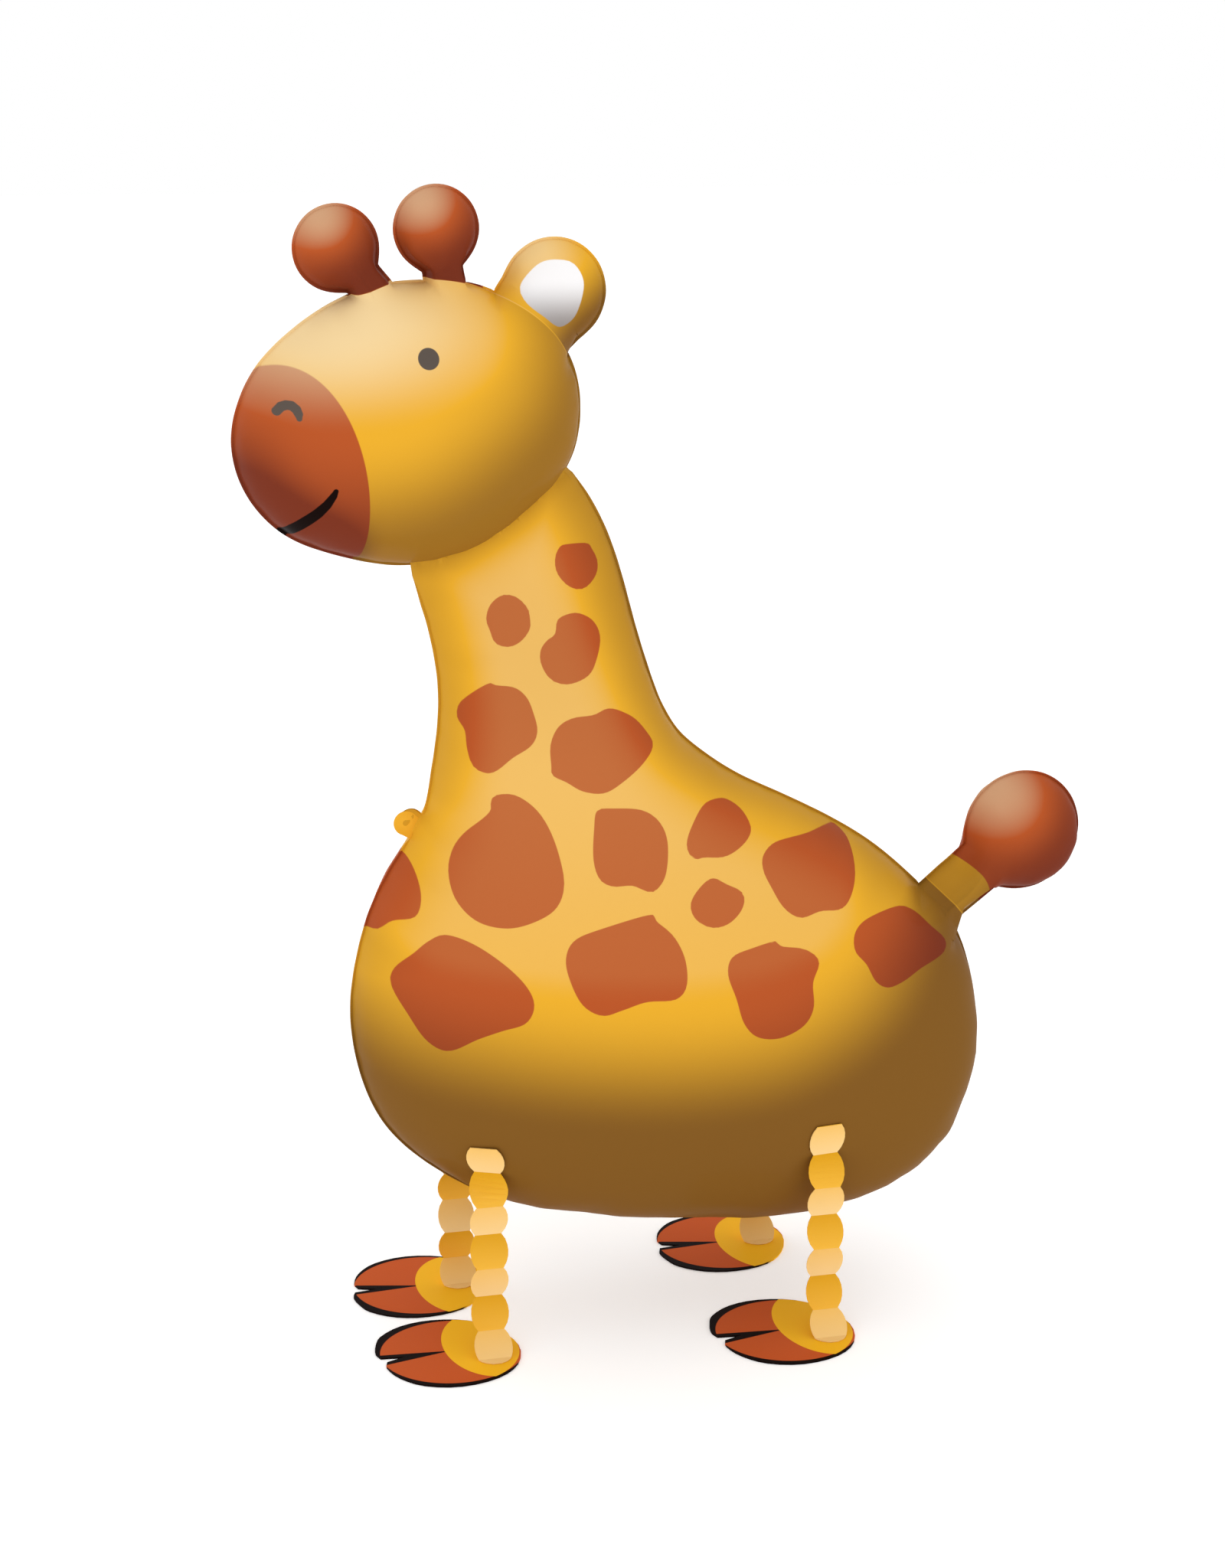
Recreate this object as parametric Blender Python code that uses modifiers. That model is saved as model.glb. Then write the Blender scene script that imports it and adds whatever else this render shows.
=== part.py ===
"""Giraffe foil balloon standing on four folded card legs.

Metres, +Z up. The giraffe faces -X and its seam lies in the plane Y = 0. The origin is on
the ground under the middle of the whole balloon. The body and the head are two foil bags:
each is a flat outline that is inflated. Each leg is one folded strip of round links that
hangs from the flank, and each foot is a flat card with a split toe.
"""

import math

import bmesh
import bpy
import numpy as np
from mathutils import Vector, geometry

# Body bag, from the chest to the rump and from the belly to the back of the neck's top
BODY_LENGTH = 0.4545
BODY_HEIGHT = 0.5487
BODY_THICKNESS = 0.200
NECK_TOP_THICKNESS = 0.044
NECK_TAPER_LENGTH = 0.130

# Tail: a stem and a round end, one with the body bag
TAIL_STEM_WIDTH = 0.040
TAIL_REACH = 0.0815
TAIL_LEAN = math.radians(-3)
TAIL_BALL_DIAMETER = 0.0864
TAIL_BALL_THICKNESS = 0.070

# Flat filling tab on the chest seam
TAB_DIAMETER = 0.0170
TAB_STEM_WIDTH = 0.0140
TAB_REACH = 0.0065
TAB_THICKNESS = 0.0012
TAB_FILLET_RADIUS = 0.0015

# Head bag with its two horns and its ear
HEAD_LENGTH = 0.2300
HEAD_HEIGHT = 0.1849
HEAD_THICKNESS = 0.144
HORN_BALL_DIAMETER = 0.0554
HORN_STEM_WIDTH = 0.0240
HORN_REACH = 0.0352
HORN_THICKNESS = 0.046
EAR_DIAMETER = 0.0690
EAR_STEM_WIDTH = 0.0630
EAR_REACH = 0.0255
EAR_THICKNESS = 0.044
FRONT_HORN_LEAN = math.radians(27)
REAR_HORN_LEAN = math.radians(12)

# Legs: one strip of round links each, folded to and fro
LINK_COUNT = 7
LINK_WIDTH = 0.0266
LINK_LENGTH = 0.0238
FOLD_WIDTH = 0.0184
FOLD_ANGLE = math.radians(17)
LAST_LINK_ANGLE = math.radians(40)
GLUED_END = 0.0080
STRIP_THICKNESS = 0.0006
FRONT_LEG_SETBACK = 0.0800
LEG_SPACING = 0.2376
LEG_SEAT_HEIGHT = 0.0716

# Feet: flat cards
FOOT_LENGTH = 0.0990
FOOT_WIDTH = 0.1060
FOOT_THICKNESS = 0.0012
HEEL_BEHIND_LEG = 0.0205

# Fits, fillets, how full the bags are, and the fineness of their facets
CLEARANCE = 0.0003
FILLET_RADIUS = 0.0030
FULLNESS = 0.42
BODY_EDGE = 0.0145
HEAD_EDGE = 0.0120
RIM_OFFSET = 0.0032
CARD_CURVE_STEPS = 3
LINK_ROWS = 6
END_ROWS = 3
STRIP_END = 0.0004

# Shares of a stem's height: where a knob has reached its own thickness, and the stretch
# over which the filling tab goes flat
KNOB_FULL = 0.6
TAB_FLATTENS = (-0.6, 0.2)

# Depth of the band under the chin in which the neck's thickness is measured, and how far
# from a leg's seat the foil is kept clear of its top link
CHIN_BAND = 0.0185
SEAT_PATCH = 0.0532

# Body outline in shares of its length and height, clockwise as seen from the giraffe's
# left. It starts at the chest; the neck's top comes between its two halves.
CHEST_AND_NECK = (
    (0.000, 0.321), (0.032, 0.450), (0.068, 0.507), (0.096, 0.541), (0.119, 0.573),
    (0.130, 0.621), (0.141, 0.678), (0.143, 0.737), (0.124, 0.823),
)
BACK_AND_BELLY = (
    (0.389, 0.926), (0.414, 0.869), (0.443, 0.781), (0.480, 0.692), (0.501, 0.661),
    (0.543, 0.629), (0.598, 0.597), (0.679, 0.563), (0.757, 0.528), (0.821, 0.493),
    (0.902, 0.432), (0.958, 0.379), (0.994, 0.294), (1.000, 0.229), (0.992, 0.166),
    (0.941, 0.075), (0.805, 0.012), (0.660, 0.000), (0.507, 0.008), (0.357, 0.027),
    (0.210, 0.059), (0.074, 0.141), (0.025, 0.207),
)
TAB_ROOT = 3
TAIL_ROOT = -13
THROAT = (0.098, 0.885)

# The neck's top in shares of the head's length and height. It enters the head at the
# throat, ends in a dome inside the head and comes out again at the nape.
NECK_TOP = (
    (0.492, 0.000), (0.486, 0.160), (0.560, 0.330), (0.700, 0.440), (0.840, 0.490),
    (0.920, 0.430), (0.965, 0.340),
)

# Head outline in shares of its length and height, clockwise from the tip of the muzzle
HEAD_OUTLINE = (
    (0.000, 0.471), (0.062, 0.691), (0.205, 0.862), (0.347, 0.958), (0.460, 0.992),
    (0.556, 0.997), (0.668, 0.988), (0.756, 0.953), (0.960, 0.745), (1.000, 0.544),
    (0.965, 0.340), (0.828, 0.166), (0.654, 0.035), (0.483, 0.000), (0.288, 0.047),
    (0.134, 0.131), (0.032, 0.283),
)
FRONT_HORN_ROOT = 3
REAR_HORN_ROOT = 5
EAR_ROOT = 7

# Foot outline in shares of its length and width, from the tip of the inner toe around
# the heel to the outer toe. The notch between the toes has straight sides.
FOOT_OUTLINE = (
    (0.000, 0.087), (0.020, 0.200), (0.075, 0.326), (0.247, 0.457), (0.477, 0.500),
    (0.736, 0.435), (0.908, 0.260), (1.000, -0.010), (0.937, -0.270), (0.764, -0.435),
    (0.494, -0.500), (0.247, -0.435), (0.103, -0.293), (0.040, -0.130),
)
FOOT_NOTCH = ((0.057, -0.054), (0.190, -0.005), (0.023, 0.012))

YELLOW_FOIL = ("yellow foil", (0.83, 0.41, 0.03), 0.28)
HEAD_FOIL = ("pale yellow foil", (0.88, 0.50, 0.08), 0.28)
LINK_CARD = ("golden link strip", (0.92, 0.58, 0.14), 0.55)
FOOT_CARD = ("rust foot card", (0.52, 0.09, 0.02), 0.60)


def lerp(a, b, t):
    return a + (b - a) * t


def smoothstep(low, high, value):
    t = np.clip((value - low) / (high - low), 0.0, 1.0)
    return t * t * (3.0 - 2.0 * t)


def turned(vector, angle):
    """The flat vector turned to its left by the angle."""
    c, s = math.cos(angle), math.sin(angle)
    return np.array((vector[0] * c - vector[1] * s, vector[0] * s + vector[1] * c))


def arc(centre, radius, start, end, steps, across, along):
    """Points of an arc from one angle to another, both ends included."""
    angles = np.linspace(start, end, steps + 1)
    return [centre + radius * (math.cos(a) * across + math.sin(a) * along) for a in angles]


def spline_run(points, index, edge):
    """Points of a closed centripetal spline from one of its knots up to the next."""
    before, start, end, after = (points[(index + k) % len(points)] for k in (-1, 0, 1, 2))
    d0, d1, d2 = (math.sqrt(math.dist(a, b))
                  for a, b in ((before, start), (start, end), (end, after)))
    leave = (end - start) + d1 * ((start - before) / d0 - (end - before) / (d0 + d1))
    arrive = (end - start) + d1 * ((after - end) / d2 - (after - start) / (d1 + d2))
    steps = max(1, round(math.dist(start, end) / edge))
    run = []
    for t in np.arange(steps) / steps:
        toward_end = t * t * (3 - 2 * t)
        run.append((1 - toward_end) * start + toward_end * end
                   + t * (1 - t) ** 2 * leave - t * t * (1 - t) * arrive)
    return run


class Knob:
    """A round end on a stem, which grows out of an outline between two of its points."""

    def __init__(self, diameter, stem_width, reach, lean=0.0, fillet=FILLET_RADIUS):
        self.radius = diameter / 2
        self.half_stem = stem_width / 2
        self.reach = reach
        self.lean = lean
        self.fillet = fillet

    def place(self, start, end):
        """Sets the stem's foot between two points of an outline that runs clockwise."""
        chord = (end - start) / math.dist(start, end)
        self.foot = (start + end) / 2
        self.along = turned(chord, math.pi / 2 + self.lean)
        self.across = turned(self.along, -math.pi / 2)
        self.centre = self.foot + self.reach * self.along

    def outline(self, edge):
        """The stem's side, a fillet, the round end, a fillet and the other side."""
        spread = self.radius + self.fillet
        off_axis = self.half_stem + self.fillet
        drop = math.sqrt(spread ** 2 - off_axis ** 2)
        turn = math.atan2(drop, off_axis)
        hollows = [self.centre - drop * self.along + side * off_axis * self.across
                   for side in (-1, 1)]
        axes = (self.across, self.along)
        steps = max(8, round(self.radius * (math.pi + 2 * turn) / edge))
        rising = arc(hollows[0], self.fillet, 0, turn, 2, *axes)
        round_end = arc(self.centre, self.radius, math.pi + turn, -turn, steps, *axes)
        falling = arc(hollows[1], self.fillet, math.pi - turn, math.pi, 2, *axes)
        return rising + round_end[1:-1] + falling

    def share_along(self, points):
        """How far points are up the stem: 0 at its foot and 1 at the round end's centre."""
        return (points - self.foot) @ self.along / self.reach

    def holds(self, points, margin):
        """Whether points are nearer to the knob's axis and round end than a margin allows."""
        t = np.clip(self.share_along(points), 0, None)[:, None]
        nearest = self.foot + np.minimum(t, 1) * self.reach * self.along
        return np.linalg.norm(points - nearest, axis=1) < self.radius + margin


def outline_points(knots, knobs, edge):
    """The whole outline: splines between the knots, and each knob in its own gap."""
    points = []
    for index, start in enumerate(knots):
        if index in knobs:
            knobs[index].place(start, knots[index + 1])
            points += [start] + knobs[index].outline(edge)
        else:
            points += spline_run(knots, index, edge)
    return np.array(points)


def rim_distance(points, outline):
    """Each point's distance to the outline, negative outside it."""
    start, end = outline, np.roll(outline, -1, axis=0)
    side = end - start
    away = points[:, None] - start
    t = np.clip((away * side).sum(2) / (side * side).sum(1), 0, 1)
    distance = np.linalg.norm(away - t[:, :, None] * side, axis=2).min(1)
    level = (start[:, 1] > points[:, 1:]) != (end[:, 1] > points[:, 1:])
    rise = np.where(side[:, 1] == 0, 1, side[:, 1])
    crossing = start[:, 0] + away[:, :, 1] / rise * side[:, 0]
    inside = (level & (points[:, :1] < crossing)).sum(1) % 2 == 1
    return np.where(inside, distance, -distance)


def inner_points(outline, edge):
    """A row of points just inside the rim, and an even triangular grid in the middle."""
    side = np.roll(outline, -1, axis=0) - np.roll(outline, 1, axis=0)
    inward = np.stack((side[:, 1], -side[:, 0]), 1) / np.linalg.norm(side, axis=1)[:, None]
    row = outline + RIM_OFFSET * inward
    row = row[rim_distance(row, outline) > 0.8 * RIM_OFFSET]
    low, high = outline.min(0), outline.max(0)
    step = edge * math.sqrt(3) / 2
    grid = np.array([
        (low[0] + (column + 0.5 * (line % 2)) * edge, low[1] + line * step)
        for line in range(int((high[1] - low[1]) / step) + 1)
        for column in range(int((high[0] - low[0]) / edge) + 1)
    ])
    grid = grid[rim_distance(grid, outline) > RIM_OFFSET + 0.55 * edge]
    return np.concatenate((row, grid))


def filled(outline, edge):
    """The outline filled with triangles: its points, rim first, and the triangles."""
    points = np.concatenate((outline, inner_points(outline, edge)))
    rim = list(range(len(outline)))
    found = geometry.delaunay_2d_cdt([Vector(p) for p in points], [], [rim], 1, 1e-7)
    return np.array([tuple(p) for p in found[0]]), np.array(found[2])


def pressed(points, faces, rim_count):
    """The height of a film that a gas presses out of the plane, fixed along the rim."""
    stiffness = np.zeros((len(points), len(points)))
    load = np.zeros(len(points))
    for face in faces:
        corners = points[face]
        sides = np.roll(corners, -1, axis=0) - np.roll(corners, 1, axis=0)
        area = abs(sides[0, 0] * sides[1, 1] - sides[0, 1] * sides[1, 0]) / 2
        stiffness[np.ix_(face, face)] += sides @ sides.T / (4 * area)
        load[face] += area / 3
    free = np.arange(rim_count, len(points))
    height = np.zeros(len(points))
    height[free] = np.linalg.solve(stiffness[np.ix_(free, free)], load[free])
    return height


def bag_mesh(name, points, faces, half_thickness):
    """The left half of a bag, bulging toward -Y and open along the rim."""
    mesh = bpy.data.meshes.new(name)
    shape = bmesh.new()
    corners = [shape.verts.new((x, -y, z)) for (x, z), y in zip(points, half_thickness)]
    for face in faces:
        shape.faces.new([corners[k] for k in face])
    bmesh.ops.recalc_face_normals(shape, faces=shape.faces)
    if sum(face.normal.y for face in shape.faces) > 0:
        bmesh.ops.reverse_faces(shape, faces=shape.faces)
    for face in shape.faces:
        face.smooth = True
    for edge in shape.edges:
        edge.smooth = not edge.is_boundary
    shape.to_mesh(mesh)
    shape.free()
    return mesh


def mirrored(piece):
    """Closes half a bag with its mirror image across the seam."""
    mirror = piece.modifiers.new("other side", "MIRROR")
    mirror.use_axis = (False, True, False)
    mirror.use_mirror_merge = True
    mirror.merge_threshold = 0.0001


def painted(mesh, finish):
    name, colour, roughness = finish
    material = bpy.data.materials.get(name) or bpy.data.materials.new(name)
    material.use_nodes = True
    shader = material.node_tree.nodes["Principled BSDF"]
    shader.inputs["Base Color"].default_value = (*colour, 1.0)
    shader.inputs["Roughness"].default_value = roughness
    shader.inputs["Metallic"].default_value = 0.0
    material.diffuse_color = (*colour, 1.0)
    mesh.materials.append(material)


def added(name, mesh, collection):
    piece = bpy.data.objects.new(name, mesh)
    collection.objects.link(piece)
    return piece


class Bag:
    """An inflated flat outline: its points, triangles and half thickness everywhere."""

    def __init__(self, knots, knobs, thickness, edge):
        outline = outline_points(knots, knobs, edge)
        self.points, self.faces = filled(outline, edge)
        bulge = np.maximum(pressed(self.points, self.faces, len(outline)), 0) ** FULLNESS
        self.half = bulge * thickness / 2 / bulge.max()

    def set_knob(self, knob, thickness):
        """Gives a knob its own thickness, reached gradually along its stem."""
        near = knob.holds(self.points, FILLET_RADIUS)
        top = self.half[near & (knob.share_along(self.points) > KNOB_FULL)].max()
        share = smoothstep(0.0, KNOB_FULL, knob.share_along(self.points))
        self.half *= np.where(near, lerp(1.0, thickness / 2 / top, share), 1.0)

    def flatten_knob(self, knob, thickness):
        """Leaves a knob unfilled, a flat tab of one thickness from its foot outward."""
        near = knob.holds(self.points, 0.0) & (self.half > 0)
        share = smoothstep(*TAB_FLATTENS, knob.share_along(self.points))
        self.half = np.where(near, lerp(self.half, thickness / 2, share), self.half)

    def facet(self, x, z):
        """The outward normal, on the -Y side, of the triangle over a point."""
        for face in self.faces:
            a, b, c = (np.array((*self.points[k], self.half[k])) for k in face)
            shares = np.linalg.solve(np.array(((a[0], b[0], c[0]), (a[1], b[1], c[1]), (1, 1, 1))),
                                     np.array((x, z, 1)))
            if shares.min() >= -1e-6:
                normal = np.cross(b - a, c - a)
                normal *= math.copysign(1, normal[2]) / np.linalg.norm(normal)
                return Vector((normal[0], -normal[2], normal[1]))
        raise ValueError("no foil over the point")


def link_half_width(along):
    """Half a link's width at a distance from its middle: round, and cut at the folds."""
    cut = (LINK_LENGTH / 2) / math.sqrt(1 - (FOLD_WIDTH / LINK_WIDTH) ** 2)
    return LINK_WIDTH / 2 * math.sqrt(max(0.0, 1 - (along / cut) ** 2)), cut


def leg_rows(seat, normal, side):
    """Each row across a strip, from its glued top to its foot: middle, across vector, half width.

    The top link lies flat on the flank, the others are folded to and fro below it, and the
    end of the last is glued to the foot. All strips end toward -Y.
    """
    out = Vector((0, side, 0))
    across_top = Vector((0, 0, 1)).cross(normal).normalized() * -side
    across_low = Vector((1, 0, 0))
    up = normal.cross(across_top).normalized()
    up *= math.copysign(1, up.z)
    places = np.linspace(-LINK_LENGTH / 2, LINK_LENGTH / 2, LINK_ROWS + 1)
    rows = [(seat - up * s, across_top, link_half_width(s)[0]) for s in places]
    fold = seat - up * (LINK_LENGTH / 2)
    step = LINK_LENGTH / LINK_ROWS
    for link in range(1, LINK_COUNT - 1):
        sway = FOLD_ANGLE if link % 2 else -FOLD_ANGLE
        down = Vector((0, 0, -1)) * math.cos(sway) + out * math.sin(sway)
        for row in range(1, LINK_ROWS + 1):
            twist = smoothstep(0, LINK_ROWS, row) if link == 1 else 1.0
            across = across_top.lerp(across_low, float(twist)).normalized()
            width = link_half_width(places[row])[0]
            rows.append((fold + down * step * row, across, width))
        fold = fold + down * LINK_LENGTH
    cut = link_half_width(0)[1]
    slant = LINK_LENGTH / 2 + cut - GLUED_END
    down = Vector((0, -math.sin(LAST_LINK_ANGLE), -math.cos(LAST_LINK_ANGLE)))
    for row in range(1, LINK_ROWS + 1):
        along = slant * row / LINK_ROWS
        width = link_half_width(along - LINK_LENGTH / 2)[0]
        rows.append((fold + down * along, across_low, width))
    toe = fold + down * slant
    for row in range(1, END_ROWS + 1):
        along = (GLUED_END - STRIP_END) * row / END_ROWS
        width = link_half_width(slant + along - LINK_LENGTH / 2)[0]
        rows.append((toe + Vector((0, -along, 0)), across_low, width))
    return rows


def leg_drop():
    """The height of the first fold over the underside of the foot."""
    slant = LINK_LENGTH / 2 + link_half_width(0)[1] - GLUED_END
    folded = (LINK_COUNT - 2) * LINK_LENGTH * math.cos(FOLD_ANGLE)
    glued = FOOT_THICKNESS + CLEARANCE + STRIP_THICKNESS / 2
    return glued + slant * math.cos(LAST_LINK_ANGLE) + folded


def strip_mesh(name, rows):
    mesh = bpy.data.meshes.new(name)
    shape = bmesh.new()
    pairs = [[shape.verts.new(middle + across * width * end) for end in (-1, 1)]
             for middle, across, width in rows]
    for (a, b), (c, d) in zip(pairs, pairs[1:]):
        shape.faces.new((a, b, d, c))
    shape.to_mesh(mesh)
    shape.free()
    mesh.shade_smooth()
    mesh.set_sharp_from_angle(angle=FOLD_ANGLE)
    return mesh


def foot_curve(name, inner_side):
    """A flat card in the plane Z = 0, its leg point at the origin and its toes toward -X."""
    curve = bpy.data.curves.new(name, "CURVE")
    curve.dimensions = "2D"
    curve.fill_mode = "BOTH"
    curve.extrude = FOOT_THICKNESS / 2
    curve.resolution_u = CARD_CURVE_STEPS
    spline = curve.splines.new("BEZIER")
    shares = FOOT_OUTLINE + FOOT_NOTCH
    spline.bezier_points.add(len(shares) - 1)
    spline.use_cyclic_u = True
    toes = HEEL_BEHIND_LEG - FOOT_LENGTH
    places = [Vector((toes + FOOT_LENGTH * u, FOOT_WIDTH * v * inner_side, 0))
              for u, v in shares]
    for index, (point, place) in enumerate(zip(spline.bezier_points, places)):
        before = places[index - 1]
        after = places[(index + 1) % len(places)]
        point.co = place
        point.handle_left_type = point.handle_right_type = "FREE"
        if index < len(FOOT_OUTLINE):
            lean = (after - before).normalized()
            point.handle_left = place - lean * (place - before).length / 3
            point.handle_right = place + lean * (after - place).length / 3
        else:
            point.handle_left = place.lerp(before, 1 / 3)
            point.handle_right = place.lerp(after, 1 / 3)
    return curve


def curve_made_mesh(name, curve, location, collection):
    """The card as a closed mesh, with its curve removed and its place in its object."""
    guide = added(name + " curve", curve, collection)
    guide.location = location
    bpy.context.view_layer.update()
    mesh = bpy.data.meshes.new_from_object(guide.evaluated_get(bpy.context.evaluated_depsgraph_get()))
    mesh.name = name
    shape = bmesh.new()
    shape.from_mesh(mesh)
    bmesh.ops.remove_doubles(shape, verts=shape.verts, dist=0.00001)
    shape.to_mesh(mesh)
    shape.free()
    piece = added(name, mesh, collection)
    piece.matrix_world = guide.matrix_world
    bpy.data.objects.remove(guide)
    bpy.data.curves.remove(curve)
    return piece


def main():
    for leftover in list(bpy.data.objects):
        bpy.data.objects.remove(leftover)
    parts = bpy.data.collections.new("giraffe foil balloon")
    cutters = bpy.data.collections.new("cutters")
    bpy.context.scene.collection.children.link(parts)
    bpy.context.scene.collection.children.link(cutters)

    body_size = np.array((BODY_LENGTH, BODY_HEIGHT))
    head_size = np.array((HEAD_LENGTH, HEAD_HEIGHT))
    belly = np.array((0.0, leg_drop() - LEG_SEAT_HEIGHT))
    head_at = belly + THROAT * body_size - NECK_TOP[0] * head_size
    tail = Knob(TAIL_BALL_DIAMETER, TAIL_STEM_WIDTH, TAIL_REACH, TAIL_LEAN)
    tab = Knob(TAB_DIAMETER, TAB_STEM_WIDTH, TAB_REACH, fillet=TAB_FILLET_RADIUS)
    front_horn, rear_horn = (
        Knob(HORN_BALL_DIAMETER, HORN_STEM_WIDTH, HORN_REACH, lean)
        for lean in (FRONT_HORN_LEAN, REAR_HORN_LEAN)
    )
    ear = Knob(EAR_DIAMETER, EAR_STEM_WIDTH, EAR_REACH)

    head_knots = head_at + np.array(HEAD_OUTLINE) * head_size
    body_knots = np.concatenate((
        belly + np.array(CHEST_AND_NECK) * body_size,
        head_at + np.array(NECK_TOP) * head_size,
        belly + np.array(BACK_AND_BELLY) * body_size,
    ))
    tail_root = len(body_knots) + TAIL_ROOT
    tail.place(*body_knots[tail_root:tail_root + 2])
    tail_end = tail.centre[0] + tail.radius
    middle = np.array(((head_knots[:, 0].min() + tail_end) / 2, 0.0))
    head_knots -= middle
    body_knots -= middle

    head = Bag(head_knots, {FRONT_HORN_ROOT: front_horn, REAR_HORN_ROOT: rear_horn,
                            EAR_ROOT: ear}, HEAD_THICKNESS, HEAD_EDGE)
    for horn in (front_horn, rear_horn):
        head.set_knob(horn, HORN_THICKNESS)
    head.set_knob(ear, EAR_THICKNESS)

    body = Bag(body_knots, {TAB_ROOT: tab, tail_root: tail}, BODY_THICKNESS, BODY_EDGE)
    body.set_knob(tail, TAIL_BALL_THICKNESS)
    body.flatten_knob(tab, TAB_THICKNESS)
    chin = head_at[1]
    neck = (body.points[:, 1] > chin - CHIN_BAND) & (body.points[:, 1] < chin)
    neck_share = NECK_TOP_THICKNESS / 2 / body.half[neck].max()
    body.half *= lerp(1.0, neck_share, smoothstep(chin - NECK_TAPER_LENGTH, chin, body.points[:, 1]))

    head_piece = added("head", bag_mesh("head", head.points, head.faces, head.half), parts)
    painted(head_piece.data, HEAD_FOIL)
    mirrored(head_piece)

    neck_socket = added("neck socket", head_piece.data.copy(), cutters)
    mirrored(neck_socket)
    swell = neck_socket.modifiers.new("clearance", "DISPLACE")
    swell.strength = CLEARANCE
    swell.mid_level = 0.0
    neck_socket.hide_render = True
    neck_socket.display_type = "WIRE"

    body_piece = added("body", bag_mesh("body", body.points, body.faces, body.half), parts)
    painted(body_piece.data, YELLOW_FOIL)
    mirrored(body_piece)
    saddle = body_piece.modifiers.new("seat of the head", "BOOLEAN")
    saddle.operation = "DIFFERENCE"
    saddle.solver = "EXACT"
    saddle.object = neck_socket

    for end, setback in (("front", FRONT_LEG_SETBACK), ("back", FRONT_LEG_SETBACK + LEG_SPACING)):
        x = body_knots[0, 0] + setback
        z = leg_drop() + LINK_LENGTH / 2
        normal = body.facet(x, z)
        near = np.hypot(*(body.points - (x, z)).T) < SEAT_PATCH
        skin = [Vector((px, -y, pz)) for (px, pz), y in zip(body.points[near], body.half[near])]
        reach = max(point.dot(normal) for point in skin) + CLEARANCE + STRIP_THICKNESS / 2
        for name, side in (("left", -1), ("right", 1)):
            facing = Vector((normal.x, -side * normal.y, normal.z))
            fold_z = leg_drop()
            tilt = math.sqrt(1 - facing.z ** 2)
            seat_z = fold_z + LINK_LENGTH / 2 * tilt
            seat = Vector((x, (reach - facing.x * x - facing.z * seat_z) / facing.y, seat_z))
            rows = leg_rows(seat, facing, side)
            leg = added(f"{end}_{name}_leg", strip_mesh("leg", rows), parts)
            wall = leg.modifiers.new("card", "SOLIDIFY")
            wall.thickness = STRIP_THICKNESS
            wall.offset = 0.0
            wall.use_even_offset = True
            painted(leg.data, LINK_CARD)
            fold = rows[LINK_ROWS][0]
            foot_at = Vector((fold.x, fold.y, FOOT_THICKNESS / 2))
            foot = curve_made_mesh(f"{end}_{name}_foot", foot_curve("foot", -side), foot_at, parts)
            foot.data.materials.clear()
            painted(foot.data, FOOT_CARD)


main()
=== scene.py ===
# %% [markdown]
# A giraffe foil balloon is two flat bags of printed film, welded round their edges and
# filled with helium. It walks on four folded strips that end in card hooves. This lesson
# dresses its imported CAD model: the bags get smooth skins, a welded rim and printed inks,
# and the strips and hooves keep their CAD shape and get their print.

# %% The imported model
import math

import bmesh
import bpy
import numpy as np
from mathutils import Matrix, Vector
from mathutils.kdtree import KDTree


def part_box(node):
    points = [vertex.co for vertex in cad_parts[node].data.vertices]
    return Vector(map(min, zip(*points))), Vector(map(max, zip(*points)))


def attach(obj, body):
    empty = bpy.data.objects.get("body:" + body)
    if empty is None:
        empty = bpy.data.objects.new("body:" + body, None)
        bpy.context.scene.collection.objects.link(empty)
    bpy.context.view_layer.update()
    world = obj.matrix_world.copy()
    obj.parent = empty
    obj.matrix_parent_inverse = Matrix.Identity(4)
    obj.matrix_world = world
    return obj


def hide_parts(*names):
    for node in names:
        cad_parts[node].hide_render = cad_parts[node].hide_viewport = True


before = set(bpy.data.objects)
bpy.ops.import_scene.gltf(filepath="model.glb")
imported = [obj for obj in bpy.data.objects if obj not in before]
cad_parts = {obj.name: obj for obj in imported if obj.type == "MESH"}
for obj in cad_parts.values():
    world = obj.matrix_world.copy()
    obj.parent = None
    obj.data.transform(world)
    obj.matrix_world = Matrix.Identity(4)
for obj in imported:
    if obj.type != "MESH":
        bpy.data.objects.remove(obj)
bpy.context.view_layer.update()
print("CAD nodes:", sorted(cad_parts))

# %% [markdown]
# The camera comes first, because the prints are placed by where the photograph shows
# them. It looks from a little in front of the giraffe's left side and from a little
# above, with a long lens, so that the side stays nearly flat in the picture.

# %% Camera
PICTURE_WIDTH = 1600
PICTURE_HEIGHT = 2048
AZIMUTH = math.radians(-14)
ELEVATION = math.radians(14.5)
DISTANCE = 2.0
AIM = Vector((-0.046, 0.0, 0.385))
LENS_MM = 66.65
SENSOR_MM = 36.0

backward = Vector((math.sin(AZIMUTH) * math.cos(ELEVATION),
                   -math.cos(AZIMUTH) * math.cos(ELEVATION),
                   math.sin(ELEVATION)))
camera = bpy.data.objects.new("camera", bpy.data.cameras.new("camera"))
bpy.context.scene.collection.objects.link(camera)
camera.data.lens = LENS_MM
camera.data.sensor_width = SENSOR_MM
camera.location = AIM + DISTANCE * backward
camera.rotation_euler = backward.to_track_quat("Z", "Y").to_euler()
bpy.context.scene.camera = camera
PIXEL = DISTANCE * SENSOR_MM / LENS_MM / PICTURE_HEIGHT
print(f"one pixel of the picture is {1000 * PIXEL:.4f} mm at the balloon")

# %% [markdown]
# A film bag shows its light softly. A white room gives even light from all sides, a large
# lamp from the upper left in front gives the form, and a weak low lamp fills the shade
# under the belly. A pale floor lies a hair under the hooves. The picture is shown with
# the plain view transform, so that a printed colour comes out as it was given.

# %% Light and floor
FLOOR_SIZE = 30.0
FLOOR_DROP = 0.0002

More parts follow.
